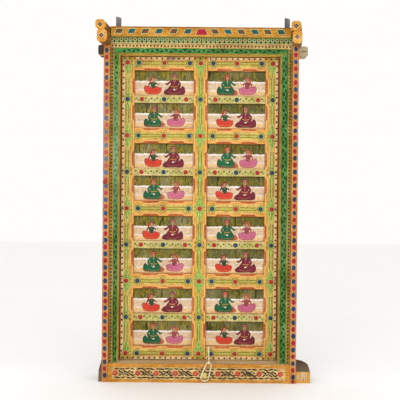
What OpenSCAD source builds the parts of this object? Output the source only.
// Painted double-leaf door of an Indian haveli or temple, hung on wooden pivots in its own frame.
// X runs along the width, Y away from the person facing the painted side, Z up.
// The origin is under the middle of the sill, half-way through the frame's depth.

/* [Frame] */
// Width over the two jambs
frame_w = 1174; // [1000:1:1400]
// Height of the opening between sill and lintel
opening_h = 1872; // [1500:1:2200]
// Width of the left jamb
left_jamb_w = 94; // [85:1:120]
// Width of the right jamb, which is a little wider than the left one
right_jamb_w = 106; // [85:1:120]
// Front plane of the outer bands
front_y = -90; // [-100:1:-88]
// Front plane of the posts, which carries the bands and mouldings
post_front_y = -40; // [-45:1:-35]
// Back plane of the frame
back_y = 90; // [86:1:120]

/* [Bands and mouldings] */
// Width of the outer bands with the large painted ovals
band_w = 38; // [30:1:44]
// Width of the dotted strips
dot_strip_w = 22; // [16:1:26]
// Front plane of the dotted strips
dot_strip_y = -66; // [-74:1:-62]
// Width of the rounded edges on bands and strips
edge_chamfer = 2; // [1:0.5:4]
// Width of the raised edges along the green moulding
bead_w = 4; // [3:0.5:6]
// Front plane of the outer raised edge of the green moulding
moulding_y = -62; // [-66:1:-58]
// Fall of the green moulding towards the opening
moulding_fall = 7; // [3:1:9]
// Width of the flat lip at the opening
lip_w = 7; // [5:1:10]
// Front plane of the lip
lip_y = -46; // [-50:1:-44]

/* [Head] */
// Height of the moulding over the opening
head_moulding_h = 37; // [30:1:45]
// Height of the frieze board
frieze_h = 39; // [30:1:60]
// Front plane of the frieze board
frieze_y = -75; // [-80:1:-70]
// Thickness of the strip behind the cornice, cut on the frieze board
frieze_tongue_t = 18; // [12:1:24]
// Height of that strip
frieze_tongue_h = 45; // [30:1:60]
// Height of the cornice
cornice_h = 55; // [45:1:80]
// Front plane of the cornice at its lower edge
cornice_low_y = -104; // [-112:1:-96]
// Front plane of the cornice at its top
cornice_top_y = -118; // [-126:1:-110]
// Thickness of the cornice's cap
cornice_cap_h = 7; // [5:1:12]
// Overhang of the cornice's cap
cornice_cap_out = 4; // [2:1:8]
// Left end of the cornice, from the frame's outer edge
cornice_left_in = 44; // [43:1:55]
// Right end of the cornice, from the frame's outer edge
cornice_right_in = 50; // [49:1:60]

/* [Lintel, posts and sill] */
// Height of the lintel beam
lintel_h = 62; // [55:1:90]
// Reach of the lintel's left horn past the jamb
lintel_horn_left = 44; // [20:1:90]
// Reach of the lintel's right horn past the jamb
lintel_horn_right = 64; // [20:1:90]
// Front plane of the lintel's horns
horn_y = -14; // [-30:1:0]
// Round of the lintel horns' edges
horn_round = 14; // [6:1:20]
// Height of the saw kerf in the right horn above the horn's underside
kerf_z = 28; // [20:1:40]
// Width of the saw kerf
kerf_w = 4; // [2:0.5:6]
// Depth of the saw kerf into the horn's end
kerf_d = 40; // [20:1:50]
// Height of the sill beam
sill_h = 79; // [60:1:100]
// Height of the raised threshold over the floor
threshold_h = 112; // [100:1:140]
// Front plane of the sill beam
sill_front_y = -76; // [-78:1:-70]
// Reach of the sill's left horn past the jamb
sill_horn_left = 20; // [10:1:80]
// Reach of the sill's right horn past the jamb
sill_horn_right = 88; // [60:1:120]
// Height of the sill's horns at the front
sill_horn_front_h = 68; // [60:1:78]
// Height of the sill's horns at the back, where the log is left thicker
sill_horn_back_h = 104; // [80:1:110]
// Plan round of the right horn's back corner
sill_horn_round = 85; // [30:1:86]
// Thickness of the carved board on the sill's face
sill_board_t = 10; // [8:1:12]
// Depth of the carved field in that board
sill_field_d = 3; // [2:0.5:4]
// Border of the carved field at the sides
sill_border_x = 25; // [15:1:40]
// Border of the carved field at the top
sill_border_top = 20; // [12:1:28]
// Border of the carved field at the bottom
sill_border_low = 18; // [12:1:24]
// Diameter of the round tenons that pass through the lintel
tenon_d = 33; // [28:1:38]
// Radial clearance round those tenons
tenon_clear = 0.2; // [0.1:0.1:0.8]
// Distance of the tenons from the jamb's outer edge, left
tenon_in_left = 76; // [60:1:76]
// Distance of the tenons from the jamb's outer edge, right
tenon_in_right = 60; // [50:1:80]
// Height of the tenons over the lintel
tenon_up = 178; // [60:1:190]
// Slope of the tenons' sawn tops, in degrees
tenon_slope = 12; // [0:1:20]
// Length of the posts' lower tenons
foot_tenon_l = 40; // [25:1:50]
// Width of the posts' lower tenons
foot_tenon_w = 44; // [30:1:60]
// Thickness of the posts' lower tenons
foot_tenon_t = 60; // [40:1:80]

/* [Corner blocks] */
// Width of the blocks
block_w = 57; // [50:1:62]
// Front plane of the upper lobes
block_upper_y = -210; // [-230:1:-170]
// Front plane of the lower lobes
block_lower_y = -202; // [-220:1:-165]
// Height of the upper lobes
block_upper_h = 55; // [45:1:65]
// Height of the lower lobes
block_lower_h = 74; // [60:1:80]
// Corner cut of the lobes
block_cut = 12; // [8:1:16]
// Rise of the blocks' underside over the head's dotted strip's lower edge
block_rise = 12; // [10:1:24]
// Lean of the left block to the left at its front
left_block_lean = 17; // [0:1:20]
// Lean of the right block to the left at its front
right_block_lean = 16; // [0:1:22]
// Sideways step between a block's upper and lower lobe
lobe_step = 8; // [0:1:10]

/* [Leaves] */
// Front plane of the leaves
leaf_y = 20; // [18:1:22]
// Thickness of the leaves
leaf_t = 45; // [40:1:50]
// Gap under the leaves
foot_gap = 4; // [3:0.5:6]
// Gap over the leaves
top_gap = 5; // [3:0.5:8]
// Gap between the leaves and the jambs
side_gap = 4.5; // [4:0.5:6]
// Place of the line where the leaves meet
meet_x = 1; // [-5:1:5]
// Gap between the leaves' inner edges
meet_gap = 4; // [3:0.5:5]
// Reach of the left leaf's lap over the right leaf
lap_w = 40; // [30:1:50]
// Thickness of the lap
lap_t = 16; // [14:1:18]
// Gap between the lap and the right leaf
lap_gap = 1.5; // [1:0.5:3]
// Gap between the lap's edge and the right leaf's rails
lap_edge_gap = 3; // [2:0.5:4]
// Width of the hinge stiles
hinge_stile_w = 79; // [70:1:95]
// Width of the left leaf's meeting stile behind the lap
meet_stile_w = 44; // [40:1:60]
// Width of the right leaf's meeting stile
under_stile_w = 56; // [50:1:70]
// Height of the top and bottom rails
end_rail_h = 82.5; // [70:0.5:100]
// Height of the middle rails
mid_rail_h = 95; // [80:1:110]
// Height of the thin strips between two paintings
strip_h = 45; // [38:1:55]
// Number of panel boards in each leaf
panel_count = 4; // [3:1:4]
// Thickness of the panel boards
panel_t = 16; // [14:1:18]
// Length of the tongues round the panel boards
tongue_l = 8; // [6:1:10]
// Thickness of those tongues
tongue_t = 8; // [6:1:10]
// Length of the rails' tenons
rail_tenon_l = 30; // [20:1:34]
// Thickness of the rails' tenons
rail_tenon_t = 14; // [10:1:15]
// Shoulder of the rails' tenons, above and below
rail_shoulder = 14; // [12:1:20]
// Round of the right leaf's outer corners
corner_round = 11; // [4:1:12]

/* [Stopped chamfers] */
// Width of the chamfers on the face
chamfer_w = 14; // [10:1:18]
// Depth of the chamfers
chamfer_d = 10; // [8:1:12]
// Length of the chamfers' sloped ends
chamfer_stop = 12; // [6:1:20]
// Plain edge beside the rails, on the stiles
stile_plain_rail = 46; // [40:1:55]
// Plain edge beside the strips, on the stiles
stile_plain_strip = 10; // [6:1:16]
// Plain edge beside the stiles, on the rails
rail_plain_stile = 52; // [45:1:60]
// Plain edge to each side of a rail's middle
rail_plain_mid = 26; // [20:1:34]

/* [Studs] */
// Diameter of the studs' domes
stud_d = 23; // [18:1:26]
// Rise of the domes over their rims
stud_dome_h = 7; // [5:0.5:8]
// Diameter of the studs' rims
stud_rim_d = 27; // [22:1:30]
// Thickness of the studs' rims
stud_rim_t = 1.5; // [1:0.5:2]
// Diameter of the nails behind the studs
nail_d = 5; // [3:0.5:6]
// Length of those nails
nail_l = 12; // [8:1:12]
// Distance of the outer studs from the leaf's edge
stud_edge_in = 36; // [34:1:42]
// Distance of the outer rows from the leaf's top and bottom
stud_row_in = 36; // [30:1:44]
// Distance of the blue studs from the ends of a rail
rail_stud_in = 26; // [22:1:34]
// Distance of the right leaf's first blue studs from the lap
lap_stud_in = 32; // [24:1:40]
// Distance of the red studs from the ends of a strip
strip_stud_in = 46; // [36:1:60]

/* [Knob] */
// Diameter of the knob on the left outer band
knob_d = 25; // [20:1:27]
// Distance of the knob's middle from the band's outer edge
knob_in = 14; // [13:0.5:19]
// Height of the knob over the ground
knob_z = 1210; // [400:5:1700]
// Diameter of the knob's neck
knob_neck_d = 14; // [10:1:16]
// Length of the knob's neck
knob_neck_l = 4; // [2:1:8]
// Diameter of the knob's peg
knob_peg_d = 8; // [6:1:9]
// Length of the knob's peg
knob_peg_l = 20; // [12:1:30]

/* [Pivots] */
// Diameter of the pivot pins
pivot_d = 26; // [22:1:28]
// Radial clearance of the pins in their sockets
pivot_clear = 0.1; // [0.05:0.05:0.5]
// Distance of the pivots from the leaf's hinge edge
pivot_in = 26; // [25:0.5:30]
// Distance of the pivots behind the leaf's front
pivot_back = 16; // [15:0.5:18]
// Round of the stile's front edge at the hinge side
heel_round = 6; // [5:0.5:9]
// Length of the upper pins
pivot_up = 32; // [24:1:40]
// Length of the lower pins
pivot_down = 40; // [24:1:45]
// End clearance of the lower pins, which carry the leaves
pivot_seat = 0.3; // [0.2:0.1:1]

/* [Stops] */
// Thickness of the stop battens
stop_t = 20; // [14:1:22]
// Height of the sill's stop batten
sill_stop_h = 28; // [20:1:40]
// Height of the lintel's stop batten
head_stop_h = 27; // [20:1:40]
// Gap between the closed leaves and the battens
stop_gap = 1; // [0.5:0.5:2]
// Distance of the battens' ends from the pivots
stop_end = 46; // [44:1:80]

/* [Hasp] */
// Place of the hasp across the door
hasp_x = 60; // [58:1:70]
// Height of the staple over the right leaf's foot
staple_up = 74; // [60:1:76]
// Diameter of the staple's rod
staple_d = 7; // [6:0.5:8]
// Inside width of the staple
staple_w = 16; // [15:1:22]
// Reach of the staple's bar before the leaf
staple_out = 17; // [15:1:22]
// Depth of the staple's legs in the leaf
staple_in = 20; // [15:1:21]
// Width of the link's strap
link_strap_w = 8; // [7:0.5:10]
// Thickness of the link's strap
link_strap_t = 4.5; // [4:0.5:6]
// Distance between the centres of the link's eyes
link_l = 117; // [110:1:122]
// Fall of the link below the horizontal, in degrees
link_fall = 34; // [30:1:36]
// Radial clearance in the link's eyes
eye_clear = 1.4; // [1:0.1:2]
// Diameter of the ring's rod
ring_d = 8; // [7:0.5:9]
// Centre-line radius of the ring's top
ring_top_r = 15.5; // [14:0.5:18]
// Centre-line radius of the ring's bottom
ring_low_r = 23; // [20:0.5:28]
// Distance between those two centres
ring_l = 77; // [60:1:78]
// Tilt of the hanging ring, in degrees
ring_tilt = 18; // [0:1:22]

/* [Hidden] */
$fn = 48;
half_w = frame_w / 2;
left_x = -half_w + left_jamb_w;
right_x = half_w - right_jamb_w;
band_in_x = half_w - band_w;
strip_in_x = band_in_x - dot_strip_w;
head_z = threshold_h + opening_h;
head_strip_z = head_z + head_moulding_h;
frieze_z = head_strip_z + dot_strip_w + 2;
cornice_z = frieze_z + frieze_h;
cornice_top_z = cornice_z + cornice_h;
block_z = head_strip_z + block_rise;
lobe_z = block_z + block_lower_h;
block_top_z = lobe_z + block_upper_h;
lintel_top_z = head_z + lintel_h;
tenon_top_z = lintel_top_z + tenon_up;
tenon_y = (post_front_y + back_y) / 2;

leaf_z = threshold_h + foot_gap;
leaf_h = opening_h - foot_gap - top_gap;
leaf_top_z = leaf_z + leaf_h;
leaf_back_y = leaf_y + leaf_t;
lap_back_y = leaf_y + lap_t;
panel_y = lap_back_y + lap_gap;
tongue_y = panel_y + (panel_t - tongue_t) / 2;
rail_tenon_y = panel_y + panel_t - (panel_t - rail_tenon_t) / 2 - rail_tenon_t;
bay_h = (leaf_h - 2 * end_rail_h - (panel_count - 1) * mid_rail_h) / panel_count;
paint_h = (bay_h - strip_h) / 2;
bay_pitch = bay_h + mid_rail_h;

left_leaf_x = left_x + side_gap;
right_leaf_x = right_x - side_gap;
left_edge_x = meet_x - meet_gap / 2;
right_edge_x = meet_x + meet_gap / 2;
lap_x = left_edge_x + lap_w;
left_panel_x0 = left_leaf_x + hinge_stile_w;
left_panel_x1 = left_edge_x - meet_stile_w;
right_panel_x0 = right_edge_x + under_stile_w;
right_rail_x = lap_x + lap_edge_gap;
right_panel_x1 = right_leaf_x - hinge_stile_w;
pivot_y = leaf_y + pivot_back;
left_pivot_x = left_leaf_x + pivot_in;
right_pivot_x = right_leaf_x - pivot_in;

staple_z = leaf_z + staple_up;
staple_y = leaf_y - staple_out;
link_y = staple_y - link_l * cos(link_fall);
link_z = staple_z - link_l * sin(link_fall);
// Overlap that joins the ring's straight sides to its arcs
seam = 0.02;

wood_green = [0.25, 0.52, 0.28];
wood_orange = [0.88, 0.62, 0.26];
wood_cream = [0.86, 0.74, 0.50];
wood_bare = [0.45, 0.36, 0.27];
wood_strip = [0.56, 0.43, 0.22];
wood_frieze = [0.55, 0.62, 0.40];
paint_red = [0.72, 0.14, 0.12];
paint_blue = [0.12, 0.24, 0.45];
iron_pale = [0.80, 0.72, 0.52];

// A box from its lowest to its highest corner
module block(low, high) {
  translate(low) cube(high - low);
}

// A square-edged board with its two front edges taken off, standing along Z
module upright_board(x0, x1, y0, y1, z0, z1) {
  translate([0, 0, z0]) linear_extrude(z1 - z0)
    polygon([[x0, y1], [x0, y0 + edge_chamfer], [x0 + edge_chamfer, y0],
             [x1 - edge_chamfer, y0], [x1, y0 + edge_chamfer], [x1, y1]]);
}

// A profile drawn as [y, z], lying along X
module along_x(x0, x1) {
  translate([x0, 0, 0]) rotate([90, 0, 90]) linear_extrude(x1 - x0) children();
}

// ---------- sill, lintel and posts ----------

module sill_plan() {
  x0 = -half_w - sill_horn_left;
  x1 = half_w + sill_horn_right;
  r = sill_horn_round;
  difference() {
    translate([x0, sill_front_y]) square([x1 - x0, back_y - sill_front_y]);
    difference() {
      translate([x1 - r, back_y - r]) square([r + 1, r + 1]);
      translate([x1 - r, back_y - r]) circle(r, $fn = 96);
    }
  }
}

// The space over a horn's sloping top
module over_horn(x0, x1) {
  along_x(x0, x1)
    polygon([[sill_front_y, sill_horn_front_h], [back_y, sill_horn_back_h], [back_y + 1, sill_horn_back_h],
             [back_y + 1, 2 * sill_h], [sill_front_y - 1, 2 * sill_h], [sill_front_y - 1, sill_horn_front_h]]);
}

module sill_beam() color(wood_bare) difference() {
  union() {
    difference() {
      linear_extrude(sill_horn_back_h) sill_plan();
      block([-half_w, sill_front_y - 1, sill_h], [half_w, back_y + 1, 2 * sill_h]);
      over_horn(-2 * half_w, -half_w);
      over_horn(half_w, 2 * half_w);
    }
    block([-band_in_x, sill_front_y, sill_h], [band_in_x, post_front_y, threshold_h]);
    block([left_x, post_front_y, sill_h], [right_x, back_y, threshold_h]);
  }
  for (x = [left_pivot_x, right_pivot_x])
    translate([x, pivot_y, leaf_z - pivot_down - pivot_seat])
      cylinder(h = pivot_down + 1, d = pivot_d + 2 * pivot_clear);
  foot_tenon(post_mid_x(-1));
  foot_tenon(post_mid_x(1));
}

module sill_board() color(wood_cream) {
  y0 = sill_front_y - sill_board_t;
  difference() {
    block([-band_in_x, y0, 0], [band_in_x, sill_front_y, threshold_h]);
    block([-band_in_x + sill_border_x, y0 - 1, sill_border_low],
          [band_in_x - sill_border_x, y0 + sill_field_d, threshold_h - sill_border_top]);
  }
}

function post_mid_x(side) = side < 0 ? (left_x - half_w) / 2 : (right_x + half_w) / 2;
function tenon_x(side) = side < 0 ? -half_w + tenon_in_left : half_w - tenon_in_right;

module foot_tenon(x) {
  translate([x - foot_tenon_w / 2, tenon_y - foot_tenon_t / 2, sill_h - foot_tenon_l])
    cube([foot_tenon_w, foot_tenon_t, foot_tenon_l]);
}

module post(side) color(wood_bare) {
  x0 = side < 0 ? -half_w : right_x;
  x1 = side < 0 ? left_x : half_w;
  block([x0, post_front_y, sill_h], [x1, back_y, head_z]);
  foot_tenon(post_mid_x(side));
  difference() {
    translate([tenon_x(side), tenon_y, head_z]) cylinder(h = tenon_top_z - head_z, d = tenon_d);
    translate([tenon_x(side) - tenon_d / 2, tenon_y, tenon_top_z])
      rotate([0, tenon_slope, 0]) translate([-tenon_d, -tenon_d, 0]) cube([4, 2, 1] * tenon_d);
  }
}

module lintel_beam() color(wood_bare) difference() {
  x0 = -half_w - lintel_horn_left;
  x1 = half_w + lintel_horn_right;
  union() {
    block([-half_w, post_front_y, head_z], [half_w, back_y, lintel_top_z]);
    rounded_horn(x0, -half_w, -1);
    rounded_horn(half_w, x1, 1);
  }
  for (side = [-1, 1])
    translate([tenon_x(side), tenon_y, head_z - 1]) cylinder(h = lintel_h + 2, d = tenon_d + 2 * tenon_clear);
  for (x = [left_pivot_x, right_pivot_x])
    translate([x, pivot_y, head_z - 1])
      cylinder(h = 1 + pivot_up - top_gap + pivot_clear, d = pivot_d + 2 * pivot_clear);
  block([x1 - kerf_d, horn_y - 1, head_z + kerf_z], [x1 + 1, back_y + 1, head_z + kerf_z + kerf_w]);
}

// A horn of the lintel: its end is rounded above and below
module rounded_horn(x0, x1, side) {
  r = horn_round;
  h = lintel_h;
  tip = side < 0 ? x0 : x1;
  translate([0, back_y, head_z]) rotate([90, 0, 0]) linear_extrude(back_y - horn_y) {
    difference() {
      translate([x0, 0]) square([x1 - x0, h]);
      for (z = [0, h])
        translate([tip - side * r / 2 + side, z + (z > 0 ? -r / 2 : r / 2)]) square(r + 2, center = true);
    }
    for (z = [r, h - r]) translate([tip - side * r, z]) circle(r);
  }
}

// ---------- bands, strips and mouldings ----------

module outer_band(side) color(wood_orange) {
  x0 = side < 0 ? -half_w : band_in_x;
  x1 = x0 + band_w;
  difference() {
    upright_board(x0, x1, front_y, post_front_y, sill_h, block_z);
    if (side < 0) knob_peg(1);
  }
  upright_board(x0, x1, front_y, sill_front_y, 0, sill_h);
}

// The knob's peg, or with more reach its hole
module knob_peg(reach) {
  translate([knob_in - half_w, front_y + knob_peg_l, knob_z]) rotate([90, 0, 0])
    cylinder(h = knob_peg_l + reach, d = knob_peg_d);
}

// A turned knob on a short neck, with its peg in the left outer band
module band_knob() color(paint_red) {
  translate([knob_in - half_w, front_y, knob_z]) rotate([90, 0, 0]) {
    cylinder(h = knob_neck_l + knob_d / 2, d = knob_neck_d);
    translate([0, 0, knob_neck_l + knob_d / 2 - 2]) sphere(knob_d / 2);
  }
  knob_peg(0);
}

module jamb_dotted_strip(side) color(wood_strip) {
  x0 = side < 0 ? -band_in_x : strip_in_x;
  upright_board(x0, x0 + dot_strip_w, dot_strip_y, post_front_y, threshold_h, head_strip_z);
}

module head_dotted_strip() color(wood_cream) along_x(-band_in_x, band_in_x)
  polygon([[post_front_y, head_strip_z], [dot_strip_y + edge_chamfer, head_strip_z],
           [dot_strip_y, head_strip_z + edge_chamfer], [dot_strip_y, frieze_z - edge_chamfer],
           [dot_strip_y + edge_chamfer, frieze_z], [post_front_y, frieze_z]]);

// Section of the green moulding as [distance from the outer edge, y]:
// a raised edge, a falling face, a second raised edge and the lip at the opening
function moulding_section(w) = [
  [0, post_front_y], [0, moulding_y], [bead_w, moulding_y], [bead_w + 1, moulding_y + bead_w],
  [w - lip_w - bead_w - 1, moulding_y + bead_w + moulding_fall],
  [w - lip_w - bead_w, moulding_y + bead_w + moulding_fall - 2],
  [w - lip_w, moulding_y + bead_w + moulding_fall - 2], [w - lip_w, lip_y], [w, lip_y],
  [w, post_front_y]
];

module jamb_green_moulding(side) color(wood_green) {
  w = side < 0 ? left_x + strip_in_x : strip_in_x - right_x;
  translate([side * strip_in_x, 0, threshold_h]) linear_extrude(head_z - threshold_h)
    polygon([for (p = moulding_section(w)) [-side * p[0], p[1]]]);
}

module head_green_moulding() color(wood_green) along_x(-strip_in_x, strip_in_x)
  polygon([for (p = moulding_section(head_moulding_h)) [p[1], head_strip_z - p[0]]]);

module frieze_board() color(wood_frieze) along_x(-band_in_x, band_in_x)
  polygon([[post_front_y, frieze_z], [frieze_y, frieze_z], [frieze_y, cornice_z],
           [post_front_y - frieze_tongue_t, cornice_z],
           [post_front_y - frieze_tongue_t, cornice_z + frieze_tongue_h],
           [post_front_y, cornice_z + frieze_tongue_h]]);

module cornice() color(wood_orange) along_x(-half_w + cornice_left_in, half_w - cornice_right_in) {
  y1 = post_front_y - frieze_tongue_t;
  cap_y = cornice_top_y - cornice_cap_out;
  cap_z = cornice_top_z - cornice_cap_h;
  polygon([[y1, cornice_z], [cornice_low_y, cornice_z], [cornice_low_y - 3, cornice_z + 3],
           [cornice_low_y - 3, cornice_z + 9], [cornice_low_y, cornice_z + 12], [cornice_top_y, cap_z],
           [cap_y, cap_z + 2], [cap_y, cornice_top_z - 2], [cap_y + 2, cornice_top_z],
           [y1, cornice_top_z]]);
}

// ---------- corner blocks ----------

// A lobe's outline: a rectangle with its corners cut
module lobe_outline(w, h, cut) {
  polygon([[-w / 2 + cut, 0], [w / 2 - cut, 0], [w / 2, cut], [w / 2, h - cut],
           [w / 2 - cut, h], [-w / 2 + cut, h], [-w / 2, h - cut], [-w / 2, cut]]);
}

// A lobe that runs from its front plane back to the outer band's plane
module lobe(front_x, back_x, y0, z0, h, back_drop) {
  plate = 3;
  hull() {
    translate([front_x, y0 + plate, z0]) rotate([90, 0, 0]) linear_extrude(plate)
      lobe_outline(block_w, h, block_cut);
    translate([back_x, front_y, z0 + 1]) rotate([90, 0, 0]) linear_extrude(plate)
      lobe_outline(block_w - 2, h - 1 - back_drop, block_cut / 2);
  }
}

module corner_block(back_x, lean) {
  top_drop = 20;
  lobe(back_x - lean + lobe_step / 2, back_x, block_lower_y, block_z, block_lower_h, 0);
  lobe(back_x - lean - lobe_step / 2, back_x, block_upper_y, lobe_z, block_upper_h, top_drop);
  children();
}

module left_corner_block() color(wood_orange) corner_block(-band_in_x - block_w / 2 + 5, left_block_lean) {
  block([-half_w - 13, front_y, block_z], [-band_in_x, post_front_y, lobe_z + 34]);
  block([-half_w, post_front_y, lintel_top_z], [-band_in_x, post_front_y + 60, lobe_z + 20]);
}

module right_corner_block() color(wood_orange) corner_block(band_in_x + block_w / 2 - 3, right_block_lean) {
  block([band_in_x, front_y, block_z], [half_w + 13, post_front_y, lobe_z + 34]);
  block([band_in_x, post_front_y, lintel_top_z], [half_w, post_front_y + 60, lobe_z + 20]);
}

// ---------- stops behind the leaves ----------

module stop_batten(z0, z1) color(wood_bare)
  block([left_pivot_x + stop_end, leaf_back_y + stop_gap, z0],
        [right_pivot_x - stop_end, leaf_back_y + stop_gap + stop_t, z1]);

// ---------- leaves ----------

// Lower edge of member k of a leaf, counted from the foot: 0 is the bottom rail
function rail_z(k) = k == 0 ? leaf_z : leaf_z + end_rail_h + k * bay_pitch - mid_rail_h;
function rail_h(k) = k == 0 || k == panel_count ? end_rail_h : mid_rail_h;
function bay_z(k) = leaf_z + end_rail_h + k * bay_pitch;
function strip_z(k) = bay_z(k) + paint_h;
// Middle heights of the studs' rows
function rail_row_z(k) = k == 0 ? leaf_z + stud_row_in
                       : k == panel_count ? leaf_top_z - stud_row_in : rail_z(k) + mid_rail_h / 2;
function strip_row_z(k) = strip_z(k) + strip_h / 2;
// Columns of the studs: on the stiles, across a rail and across a strip
left_stile_studs = [left_leaf_x + stud_edge_in, (left_panel_x1 + lap_x) / 2];
right_stile_studs = [right_leaf_x - stud_edge_in];
function rail_studs(x0, x1, first) = [x0 + first, (x0 + x1) / 2, x1 - rail_stud_in];
function strip_studs(x0, x1) = [x0 + strip_stud_in, (x0 + x1) / 2, x1 - strip_stud_in];

// A chamfer with sloped ends, cut into a front edge. It lies along X from 0 to l with the
// edge at y = 0 and z = 0, and the wood behind and above it.
module chamfer_cut(l) {
  across = norm([chamfer_w, chamfer_d]);
  deep = chamfer_w * chamfer_d / across;
  s = chamfer_stop;
  translate([0, 0, chamfer_w]) rotate([180 + atan2(chamfer_d, chamfer_w), 0, 0])
    translate([0, 0, -deep]) linear_extrude(across + 2 * deep)
      polygon([[s, 0], [l - s, 0], [l + s, 2 * deep], [-s, 2 * deep]]);
}

module edge_chamfer_x(x0, x1, z, up) {
  translate([x0, leaf_y, z]) mirror([0, 0, up > 0 ? 0 : 1]) chamfer_cut(x1 - x0);
}

module edge_chamfer_z(x, z0, z1, side) {
  translate([x, leaf_y, z0]) mirror([side > 0 ? 0 : 1, 0, 0])
    multmatrix([[0, 0, 1, 0], [0, 1, 0, 0], [1, 0, 0, 0], [0, 0, 0, 1]]) chamfer_cut(z1 - z0);
}

// Holes for the studs' nails
module nail_holes(xs, z) {
  for (x = xs) translate([x, leaf_y + nail_l, z]) rotate([90, 0, 0]) cylinder(h = nail_l + 1, d = nail_d);
}

// The nail holes of a stile's whole column of studs
module stile_nail_holes(x) {
  for (k = [0 : panel_count]) nail_holes([x], rail_row_z(k));
  for (k = [0 : panel_count - 1]) nail_holes([x], strip_row_z(k));
}

// The chamfers along one long edge of a stile, two in each bay
module stile_chamfers(x, side) {
  for (k = [0 : panel_count - 1]) {
    edge_chamfer_z(x, bay_z(k) + stile_plain_rail, strip_z(k) - stile_plain_strip, side);
    edge_chamfer_z(x, strip_z(k) + strip_h + stile_plain_strip, bay_z(k) + bay_h - stile_plain_rail, side);
  }
}

// The chamfers along one edge of a rail, one to each side of its middle
module rail_chamfers(x0, x1, z, up) {
  mid = (x0 + x1) / 2;
  edge_chamfer_x(x0 + rail_plain_stile, mid - rail_plain_mid, z, up);
  edge_chamfer_x(mid + rail_plain_mid, x1 - rail_plain_stile, z, up);
}

// Mortises and panel grooves in a stile whose inner edge is at x, with the wood on the side given
module stile_joints(x, side) {
  for (k = [0 : panel_count]) rail_tenon(k, x, side);
  for (k = [0 : panel_count - 1])
    block([min(x, x + side * tongue_l), tongue_y, bay_z(k) - tongue_l],
          [max(x, x + side * tongue_l), tongue_y + tongue_t, bay_z(k) + bay_h + tongue_l]);
}

module rail_tenon(k, x, side) {
  shoulder = rail_shoulder;
  block([min(x, x + side * rail_tenon_l), rail_tenon_y, rail_z(k) + shoulder],
        [max(x, x + side * rail_tenon_l), rail_tenon_y + rail_tenon_t, rail_z(k) + rail_h(k) - shoulder]);
}

module pivot_pins(x) {
  translate([x, pivot_y, leaf_z - pivot_down]) cylinder(h = pivot_down, d = pivot_d);
  translate([x, pivot_y, leaf_top_z]) cylinder(h = pivot_up, d = pivot_d);
}

// Plan of a hinge stile with its hinge edge at x: the front edge there is rounded off
module stile_plan(x, dir) {
  r = heel_round;
  difference() {
    translate([min(x, x + dir * hinge_stile_w), leaf_y]) square([hinge_stile_w, leaf_t]);
    translate([x + dir * (r / 2 - 1), leaf_y + r / 2 - 1]) square([r + 2, r + 2], center = true);
  }
  translate([x + dir * r, leaf_y + r]) circle(r);
}

// What the right leaf's rounded corners take away, at its outer edge
module corner_waste() {
  r = corner_round;
  for (z = [leaf_z, leaf_top_z]) {
    up = z == leaf_z ? 1 : -1;
    difference() {
      translate([right_leaf_x - r, leaf_y - 1, min(z - up, z + up * r)]) cube([r + 1, leaf_t + 2, r + 1]);
      translate([right_leaf_x - r, leaf_y - 2, z + up * r]) rotate([-90, 0, 0]) cylinder(h = leaf_t + 4, r = r);
    }
  }
}

module left_hinge_stile() color(wood_cream) {
  difference() {
    translate([0, 0, leaf_z]) linear_extrude(leaf_h) stile_plan(left_leaf_x, 1);
    stile_joints(left_panel_x0, -1);
    stile_chamfers(left_panel_x0, -1);
    stile_nail_holes(left_stile_studs[0]);
  }
  pivot_pins(left_pivot_x);
}

module right_hinge_stile() color(wood_cream) {
  difference() {
    translate([0, 0, leaf_z]) linear_extrude(leaf_h) stile_plan(right_leaf_x, -1);
    stile_joints(right_panel_x1, 1);
    stile_chamfers(right_panel_x1, 1);
    stile_nail_holes(right_stile_studs[0]);
    corner_waste();
  }
  pivot_pins(right_pivot_x);
}

module left_meeting_stile() color(wood_cream) difference() {
  union() {
    block([left_panel_x1, leaf_y, leaf_z], [left_edge_x, leaf_back_y, leaf_top_z]);
    block([left_edge_x, leaf_y, leaf_z], [lap_x, lap_back_y, leaf_top_z]);
  }
  stile_joints(left_panel_x1, 1);
  stile_chamfers(left_panel_x1, 1);
  stile_chamfers(lap_x, -1);
  stile_nail_holes(left_stile_studs[1]);
}

module right_meeting_stile() color(wood_cream) difference() {
  block([right_edge_x, panel_y, leaf_z], [right_panel_x0, leaf_back_y, leaf_top_z]);
  stile_joints(right_panel_x0, -1);
  staple_legs();
}

// A rail of the left leaf, between its two stiles
module left_rail(k) color(wood_cream) {
  difference() {
    rail_body(k, left_panel_x0, left_panel_x0, left_panel_x1);
    nail_holes(rail_studs(left_panel_x0, left_panel_x1, rail_stud_in), rail_row_z(k));
  }
  rail_tenon(k, left_panel_x0, -1);
  rail_tenon(k, left_panel_x1, 1);
}

// A rail of the right leaf: its front runs over the meeting stile to the lap's edge
module right_rail(k) color(wood_cream) {
  difference() {
    rail_body(k, right_rail_x, right_panel_x0, right_panel_x1);
    nail_holes(rail_studs(right_rail_x, right_panel_x1, lap_stud_in), rail_row_z(k));
    if (k == 0) staple_legs();
  }
  rail_tenon(k, right_panel_x0, -1);
  rail_tenon(k, right_panel_x1, 1);
}

module rail_body(k, front_x0, x0, x1) {
  z0 = rail_z(k);
  z1 = z0 + rail_h(k);
  difference() {
    union() {
      block([front_x0, leaf_y, z0], [x1, panel_y, z1]);
      block([x0, panel_y, z0], [x1, leaf_back_y, z1]);
    }
    if (k > 0) {
      block([x0 - tongue_l - 1, tongue_y, z0 - 1], [x1 + 1, tongue_y + tongue_t, z0 + tongue_l]);
      rail_chamfers(front_x0, x1, z0, 1);
    }
    if (k < panel_count) {
      block([x0 - tongue_l - 1, tongue_y, z1 - tongue_l], [x1 + 1, tongue_y + tongue_t, z1 + 1]);
      rail_chamfers(front_x0, x1, z1, -1);
    }
  }
}

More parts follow.
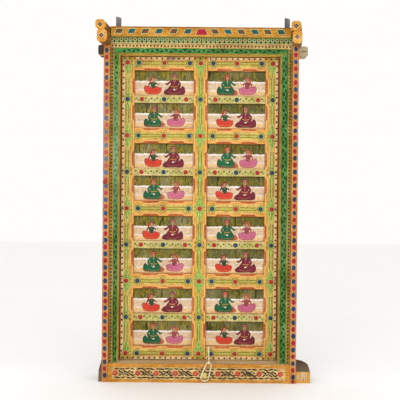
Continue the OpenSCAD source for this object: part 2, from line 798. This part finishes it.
// A panel board with a tongue all round, which sits in the grooves of stiles and rails
module panel(k, x0, x1) color(wood_cream) {
  block([x0, panel_y, bay_z(k)], [x1, panel_y + panel_t, bay_z(k) + bay_h]);
  block([x0 - tongue_l, tongue_y, bay_z(k) - tongue_l],
        [x1 + tongue_l, tongue_y + tongue_t, bay_z(k) + bay_h + tongue_l]);
}

// A thin strip nailed over a panel board
module strip(k, x0, x1) color(wood_cream) difference() {
  block([x0, leaf_y, strip_z(k)], [x1, panel_y, strip_z(k) + strip_h]);
  nail_holes(strip_studs(x0, x1), strip_row_z(k));
}

// ---------- studs ----------

module stud(x, z) {
  r = stud_d / 2;
  h = stud_dome_h;
  dome_r = (r * r + h * h) / (2 * h);
  translate([x, leaf_y, z]) rotate([90, 0, 0]) {
    cylinder(h = stud_rim_t, d = stud_rim_d);
    intersection() {
      translate([0, 0, stud_rim_t + h - dome_r]) sphere(dome_r);
      translate([0, 0, stud_rim_t]) cylinder(h = h + 1, r = stud_rim_d);
    }
    translate([0, 0, -nail_l]) cylinder(h = nail_l, d = nail_d);
  }
}

module left_red_studs() color(paint_red)
  red_studs(left_stile_studs, left_panel_x0, left_panel_x1, rail_stud_in);
module left_blue_studs() color(paint_blue)
  blue_studs(left_stile_studs, left_panel_x0, left_panel_x1, rail_stud_in);
module right_red_studs() color(paint_red)
  red_studs(right_stile_studs, right_rail_x, right_panel_x1, lap_stud_in);
module right_blue_studs() color(paint_blue)
  blue_studs(right_stile_studs, right_rail_x, right_panel_x1, lap_stud_in);

// Red studs stand on the stiles beside the rails, in the rails' middles and near the strips' ends
module red_studs(stiles, x0, x1, first) {
  for (k = [0 : panel_count], x = concat(stiles, [rail_studs(x0, x1, first)[1]])) stud(x, rail_row_z(k));
  for (k = [0 : panel_count - 1], x = [strip_studs(x0, x1)[0], strip_studs(x0, x1)[2]]) stud(x, strip_row_z(k));
}

// Blue studs stand on the stiles beside the strips, in the strips' middles and near the rails' ends
module blue_studs(stiles, x0, x1, first) {
  for (k = [0 : panel_count], x = [rail_studs(x0, x1, first)[0], rail_studs(x0, x1, first)[2]])
    stud(x, rail_row_z(k));
  for (k = [0 : panel_count - 1], x = concat(stiles, [strip_studs(x0, x1)[1]])) stud(x, strip_row_z(k));
}

// ---------- hasp ----------

staple_leg_x = [hasp_x - (staple_w + staple_d) / 2, hasp_x + (staple_w + staple_d) / 2];

module staple_legs() {
  for (x = staple_leg_x)
    translate([x, leaf_y + staple_in, staple_z]) rotate([90, 0, 0]) cylinder(h = staple_in + 1, d = staple_d);
}

// An arc of round rod in the XY plane about the origin, from one angle over a span
module rod_arc(r, d, from, span) {
  rotate([0, 0, from]) rotate_extrude(angle = span) translate([r, 0]) circle(d / 2, $fn = 24);
}

module hasp_staple() color(iron_pale) {
  bend = staple_d;
  for (x = staple_leg_x)
    translate([x, leaf_y + staple_in, staple_z]) rotate([90, 0, 0])
      cylinder(h = staple_in + staple_out - bend, d = staple_d);
  translate([staple_leg_x[0] + bend, staple_y + bend, staple_z]) rod_arc(bend, staple_d, 180, 90);
  translate([staple_leg_x[1] - bend, staple_y + bend, staple_z]) rod_arc(bend, staple_d, 270, 90);
  translate([staple_leg_x[0] + bend, staple_y, staple_z]) rotate([0, 90, 0])
    cylinder(h = staple_w + staple_d - 2 * bend, d = staple_d);
}

// A strap link: a long eye seen edge-on, hanging from the staple's bar
module hasp_link() color(iron_pale) {
  r_top = staple_d / 2 + eye_clear;
  r_low = ring_d / 2 + eye_clear;
  r = max(r_top, r_low);
  translate([hasp_x - link_strap_w / 2, staple_y, staple_z]) rotate([link_fall, 0, 0])
    rotate([90, 0, 90]) linear_extrude(link_strap_w) difference() {
      link_outline(r + link_strap_t);
      link_outline(r);
    }
}

module link_outline(r) {
  circle(r);
  translate([-link_l, 0]) circle(r);
  translate([-link_l, -r]) square([link_l, 2 * r]);
}

// The ring: two arcs of rod joined by straight sides, hanging in front of the sill
module hasp_ring() color(iron_pale) {
  dr = ring_low_r - ring_top_r;
  phi = asin(dr / ring_l);
  side_l = ring_l * cos(phi) + 2 * seam;
  translate([hasp_x, link_y, link_z - ring_top_r]) rotate([90, 0, 0]) rotate([0, 0, -ring_tilt]) {
    rod_arc(ring_top_r, ring_d, phi, 180 - 2 * phi);
    translate([0, -ring_l]) rod_arc(ring_low_r, ring_d, 180 - phi, 180 + 2 * phi);
    for (s = [-1, 1])
      translate([s * ring_top_r * cos(phi), ring_top_r * sin(phi), 0])
        rotate([0, 0, s * phi]) translate([0, seam, 0]) rotate([90, 0, 0])
          cylinder(h = side_l, d = ring_d - seam, $fn = 24);
  }
}

sill_beam();
sill_board();
lintel_beam();
post(-1);  // left_post
post(1);  // right_post
outer_band(-1);  // left_outer_band
outer_band(1);  // right_outer_band
jamb_dotted_strip(-1);  // left_dotted_strip
jamb_dotted_strip(1);  // right_dotted_strip
head_dotted_strip();
jamb_green_moulding(-1);  // left_green_moulding
jamb_green_moulding(1);  // right_green_moulding
head_green_moulding();
frieze_board();
cornice();
left_corner_block();
right_corner_block();
band_knob();
stop_batten(threshold_h, threshold_h + sill_stop_h);  // sill_stop
stop_batten(head_z - head_stop_h, head_z);  // head_stop
left_hinge_stile();
left_meeting_stile();
left_rail(panel_count);  // left_top_rail
left_rail(1);  // left_rail_1
left_rail(2);  // left_rail_2
left_rail(3);  // left_rail_3
left_rail(0);  // left_bottom_rail
strip(0, left_panel_x0, left_panel_x1);  // left_strip_1
strip(1, left_panel_x0, left_panel_x1);  // left_strip_2
strip(2, left_panel_x0, left_panel_x1);  // left_strip_3
strip(3, left_panel_x0, left_panel_x1);  // left_strip_4
panel(0, left_panel_x0, left_panel_x1);  // left_panel_1
panel(1, left_panel_x0, left_panel_x1);  // left_panel_2
panel(2, left_panel_x0, left_panel_x1);  // left_panel_3
panel(3, left_panel_x0, left_panel_x1);  // left_panel_4
left_red_studs();
left_blue_studs();
right_hinge_stile();
right_meeting_stile();
right_rail(panel_count);  // right_top_rail
right_rail(1);  // right_rail_1
right_rail(2);  // right_rail_2
right_rail(3);  // right_rail_3
right_rail(0);  // right_bottom_rail
strip(0, right_rail_x, right_panel_x1);  // right_strip_1
strip(1, right_rail_x, right_panel_x1);  // right_strip_2
strip(2, right_rail_x, right_panel_x1);  // right_strip_3
strip(3, right_rail_x, right_panel_x1);  // right_strip_4
panel(0, right_panel_x0, right_panel_x1);  // right_panel_1
panel(1, right_panel_x0, right_panel_x1);  // right_panel_2
panel(2, right_panel_x0, right_panel_x1);  // right_panel_3
panel(3, right_panel_x0, right_panel_x1);  // right_panel_4
right_red_studs();
right_blue_studs();
hasp_staple();
hasp_link();
hasp_ring();
